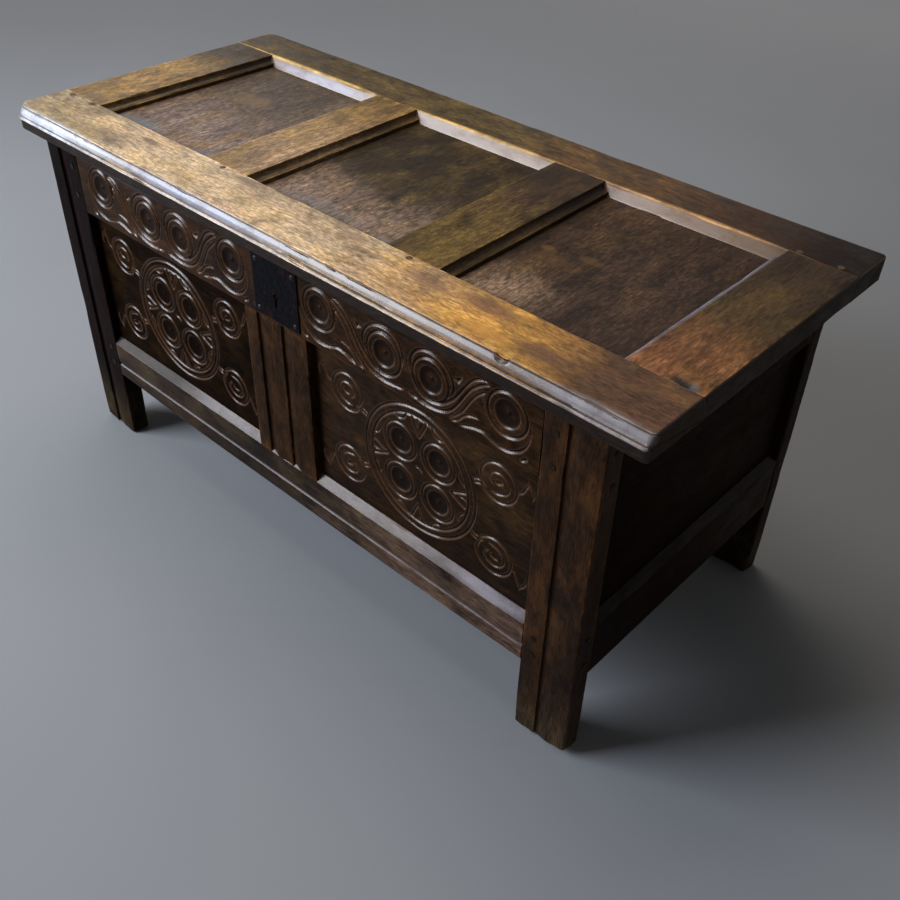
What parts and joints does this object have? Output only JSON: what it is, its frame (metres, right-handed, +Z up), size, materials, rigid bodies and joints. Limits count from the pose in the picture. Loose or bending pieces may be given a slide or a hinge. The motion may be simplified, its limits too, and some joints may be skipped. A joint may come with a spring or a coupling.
{
  "type": "coffer chest",
  "caption": "Joined oak coffer: panelled frame chest on stile feet, carved front, framed lid on iron strap hinges, and an iron box lock.",
  "frame": {"origin": "on the floor under the centre of the whole object's box, lid and hinges included", "axes": "+X along the chest, towards the right end as seen from the front; +Y from the front to the back; +Z up"},
  "size_m": [1.2, 0.5363, 0.585],
  "materials": {
    "lid_oak": "waxed, worn, satin",
    "lid_panel_oak": "waxed, satin",
    "carcase_oak": "dark waxed, satin",
    "panel_oak": "dark waxed, satin",
    "floor_oak": "dry, unwaxed",
    "peg_oak": "end grain, waxed",
    "wrought_iron": "blackened, waxed"
  },
  "bodies": {
    "carcase": {"back_bottom_rail": "carcase_oak", "back_left_panel": "panel_oak", "back_left_stile": "carcase_oak", "back_muntin": "carcase_oak", "back_pegs": "peg_oak", "back_right_panel": "panel_oak", "back_right_stile": "carcase_oak", "back_top_rail": "carcase_oak", "bottom_board_1": "floor_oak", "bottom_board_2": "floor_oak", "bottom_board_3": "floor_oak", "bottom_board_4": "floor_oak", "bottom_board_5": "floor_oak", "front_bottom_rail": "carcase_oak", "front_left_panel": "panel_oak", "front_left_stile": "carcase_oak", "front_muntin": "carcase_oak", "front_pegs": "peg_oak", "front_right_panel": "panel_oak", "front_right_stile": "carcase_oak", "front_top_rail": "carcase_oak", "hinge_back_nails": "wrought_iron", "left_end_bottom_rail": "carcase_oak", "left_end_panel": "panel_oak", "left_end_pegs": "peg_oak", "left_end_top_rail": "carcase_oak", "left_hinge_back_strap": "wrought_iron", "left_hinge_pin": "wrought_iron", "lock_case": "wrought_iron", "lock_case_nails": "wrought_iron", "lock_plate": "wrought_iron", "lock_plate_nails": "wrought_iron", "right_end_bottom_rail": "carcase_oak", "right_end_panel": "panel_oak", "right_end_pegs": "peg_oak", "right_end_top_rail": "carcase_oak", "right_hinge_back_strap": "wrought_iron", "right_hinge_pin": "wrought_iron"},
    "lid": {"hinge_lid_nails": "wrought_iron", "left_hinge_lid_strap": "wrought_iron", "lid_back_rail": "lid_oak", "lid_centre_panel": "lid_panel_oak", "lid_front_rail": "lid_oak", "lid_left_end_rail": "lid_oak", "lid_left_muntin": "lid_oak", "lid_left_panel": "lid_panel_oak", "lid_pegs": "peg_oak", "lid_right_end_rail": "lid_oak", "lid_right_muntin": "lid_oak", "lid_right_panel": "lid_panel_oak", "lid_staple": "wrought_iron", "lid_staple_nails": "wrought_iron", "right_hinge_lid_strap": "wrought_iron"},
    "lock_bolt": {"lock_bolt": "wrought_iron"}
  },
  "joints": [
    {"name": "lid_hinge", "type": "hinge", "parent": "carcase", "child": "lid", "pos_m": [0, 0.26265, 0.5465], "axis": [-1, 0, 0], "range_deg": [0, 100]},
    {"name": "bolt_throw", "type": "slide", "parent": "carcase", "child": "lock_bolt", "axis": [1, 0, 0], "range_m": [0, 0.014]}
  ]
}
